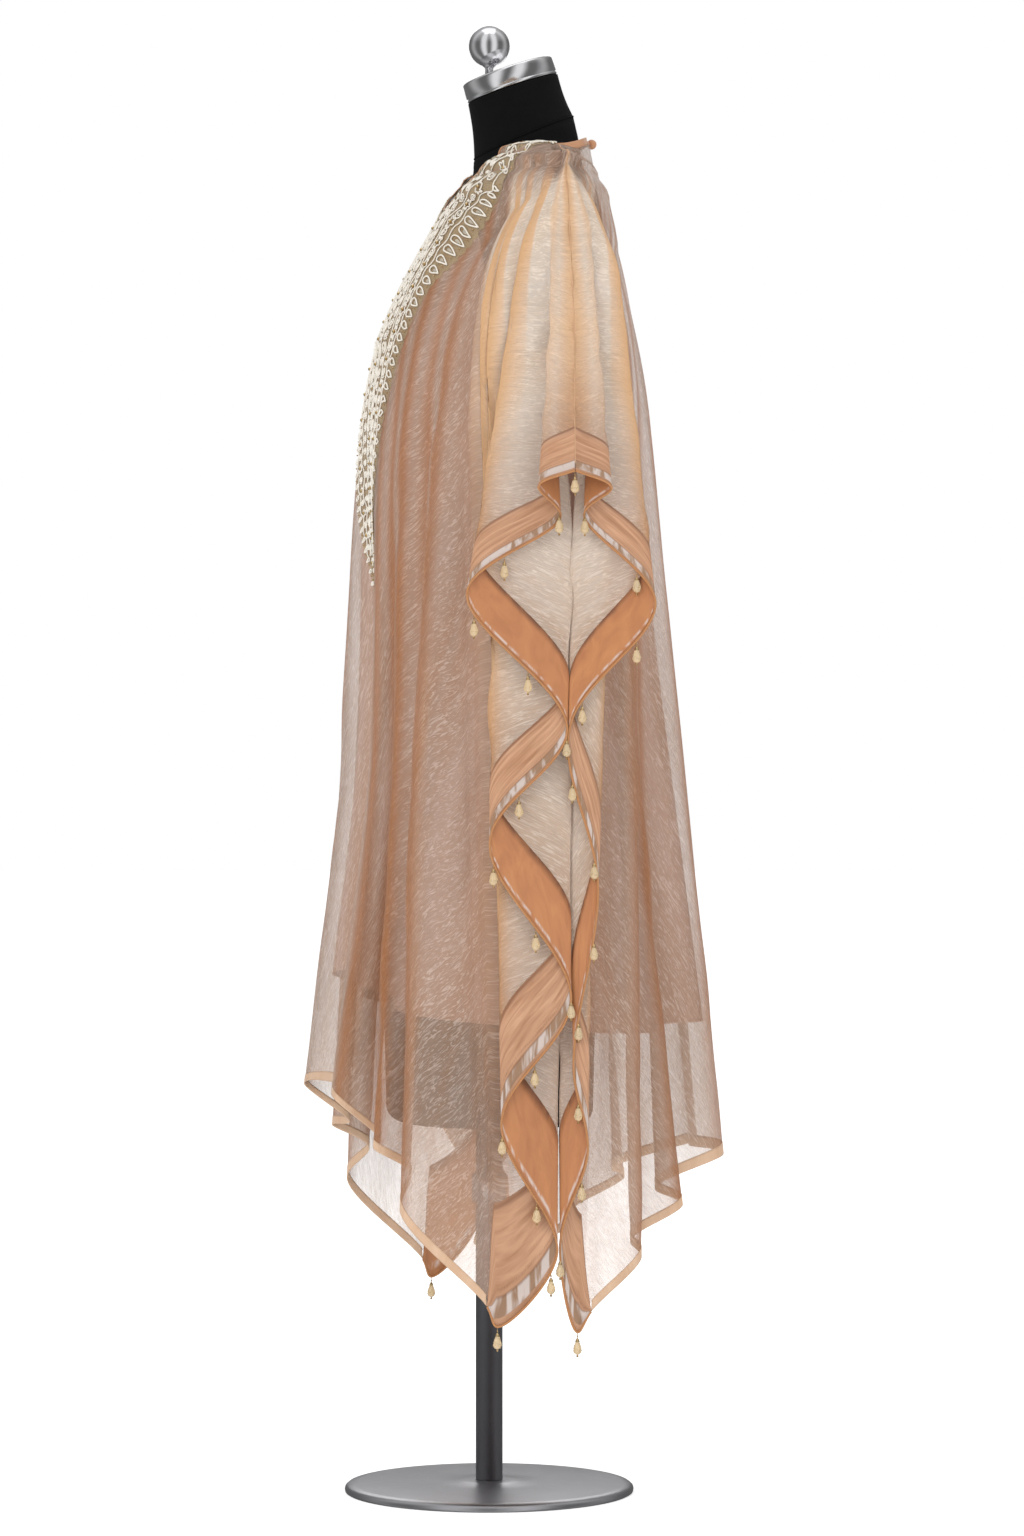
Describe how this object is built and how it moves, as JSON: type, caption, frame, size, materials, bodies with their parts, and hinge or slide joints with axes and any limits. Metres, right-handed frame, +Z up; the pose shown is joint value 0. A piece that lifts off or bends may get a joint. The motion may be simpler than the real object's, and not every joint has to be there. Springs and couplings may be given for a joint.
{
  "type": "kaftan worn by a limbless dress form on a stand",
  "caption": "Sheer embroidered poncho kaftan with satin bands and bead drops over a satin slip, worn by a black limbless dress form with a chrome neck cap and a round base",
  "frame": {"origin": "centre of the base's underside on the floor, on the pole's axis", "axes": "+Z up, +X to the wearer's left, -Y to the wearer's front"},
  "size_m": [0.5562, 0.413, 1.5225],
  "materials": {
    "sheer_cloth": "sheer crinkled champagne gauze with faint warm streaks along the folds",
    "band_satin": "peach bronze satin band with a silvery stripe and a piping cord",
    "embroidery_thread": "raised ivory cord and silver thread embroidery with small gold beads",
    "slip_satin": "soft peach satin",
    "bead_glass": "faceted champagne glass drops with gold caps",
    "form_jersey": "stretched black jersey over a smooth form",
    "cap_chrome": "polished chrome",
    "stand_steel": "satin steel pole and base"
  },
  "bodies": {
    "root": {"front_panel": "sheer_cloth", "back_panel": "sheer_cloth", "front_edge_band_left": "band_satin", "front_edge_band_right": "band_satin", "back_edge_band_left": "band_satin", "back_edge_band_right": "band_satin", "front_hem_binding": "band_satin", "back_hem_binding": "band_satin", "front_neck_trim": "band_satin", "back_neck_trim": "band_satin", "embroidery_neckline": "embroidery_thread", "embroidery_yoke": "embroidery_thread", "embroidery_placket": "embroidery_thread", "slip_front": "slip_satin", "slip_back": "slip_satin", "slip_strap_left": "slip_satin", "slip_strap_right": "slip_satin", "drop_front_corner_left": "bead_glass", "drop_front_corner_right": "bead_glass", "drop_back_corner_left": "bead_glass", "drop_back_corner_right": "bead_glass", "drop_crest_left": "bead_glass", "drop_crest_right": "bead_glass", "neck_button": "band_satin", "form_torso": "form_jersey", "form_neck": "form_jersey", "neck_cap": "cap_chrome", "finial": "cap_chrome", "pole": "stand_steel", "base": "stand_steel"}
  },
  "joints": []
}
